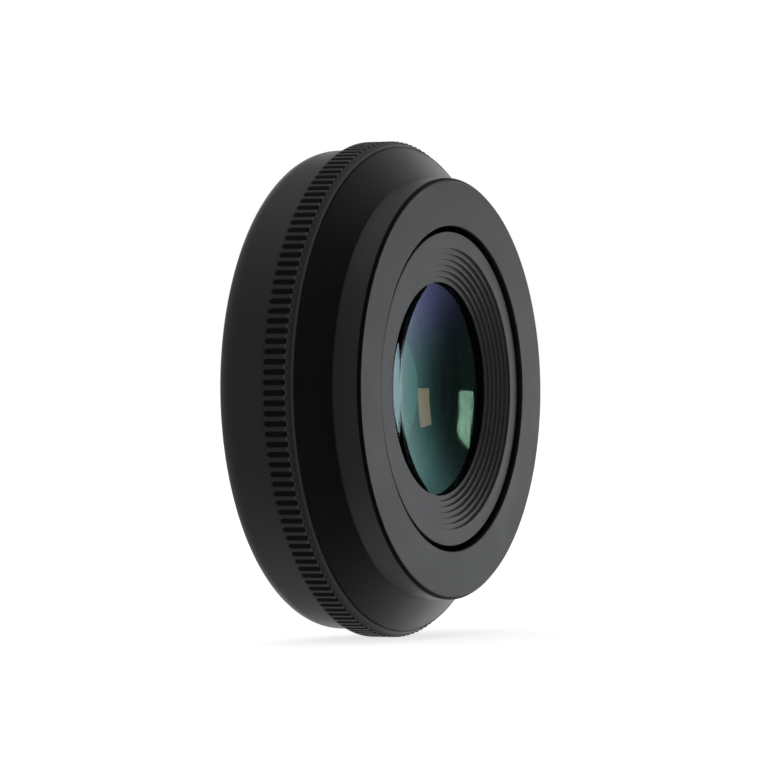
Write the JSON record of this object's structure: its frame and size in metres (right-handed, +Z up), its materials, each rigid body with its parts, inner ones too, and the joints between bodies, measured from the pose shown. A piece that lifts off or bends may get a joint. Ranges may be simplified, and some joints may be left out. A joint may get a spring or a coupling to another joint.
{
  "type": "clip-on macro lens",
  "caption": "Round macro lens with a knurled focus ring between flanged barrel and rear housing; turning it slides the glass cell forward. Rear threaded stub for a phone clip.",
  "frame": {"origin": "centre of the rear seat face, where the lens meets its clip and the threaded stub begins", "axes": "+Y along the optical axis towards the rear, so the front glass faces -Y; +Z up; +X to the right as seen from the front"},
  "size_m": [0.0382, 0.0141, 0.0382],
  "materials": {
    "barrel_anodised": "black anodised, fine turned satin",
    "ring_anodised": "black anodised, cut knurl",
    "housing_anodised": "black anodised, fine bead-blasted",
    "baffle_anodised": "black anodised, stepped and turned",
    "cell_anodised": "matte black anodised",
    "sleeve_anodised": "matte black anodised, greased",
    "mount_anodised": "black anodised, cut thread",
    "coated_glass": "polished, green and violet anti-reflection coating",
    "inner_glass": "polished, anti-reflection coating",
    "stop_black": "flat black film",
    "slide_nylon": "black nylon",
    "roller_brass": "turned brass",
    "screw_steel": "black oxide",
    "pin_steel": "ground steel",
    "pad_rubber": "soft black rubber"
  },
  "bodies": {
    "housing": {"front_barrel": "barrel_anodised", "front_slide_washer": "slide_nylon", "guide_sleeve": "sleeve_anodised", "rear_housing": "housing_anodised", "rear_slide_washer": "slide_nylon", "sleeve_screws": "screw_steel", "mount_ring": "mount_anodised", "mount_screws": "screw_steel", "seat_pad": "pad_rubber", "rear_element": "coated_glass", "rear_retaining_ring": "mount_anodised"},
    "focus_ring": {"focus_ring": "ring_anodised", "cam_sleeve": "sleeve_anodised", "drive_screws": "screw_steel", "stop_pin": "pin_steel"},
    "lens_cell": {"lens_cell": "cell_anodised", "baffle_ring": "baffle_anodised", "front_crown": "coated_glass", "front_flint": "inner_glass", "field_stop": "stop_black", "cell_spacer": "cell_anodised", "inner_element": "inner_glass", "cell_retaining_ring": "cell_anodised", "guide_pins": "pin_steel", "guide_rollers": "roller_brass"}
  },
  "joints": [
    {"name": "focus_turn", "type": "hinge", "parent": "housing", "child": "focus_ring", "pos_m": [0, -0.0058, 0], "axis": [0, -1, 0], "range_deg": [0, 90]},
    {"name": "cell_slide", "type": "slide", "parent": "housing", "child": "lens_cell", "axis": [0, -1, 0], "range_m": [0, 0.0015]}
  ],
  "couplings": [
    {"joint": "cell_slide", "follows": "focus_turn", "m_per_rad": 0.0009549}
  ]
}
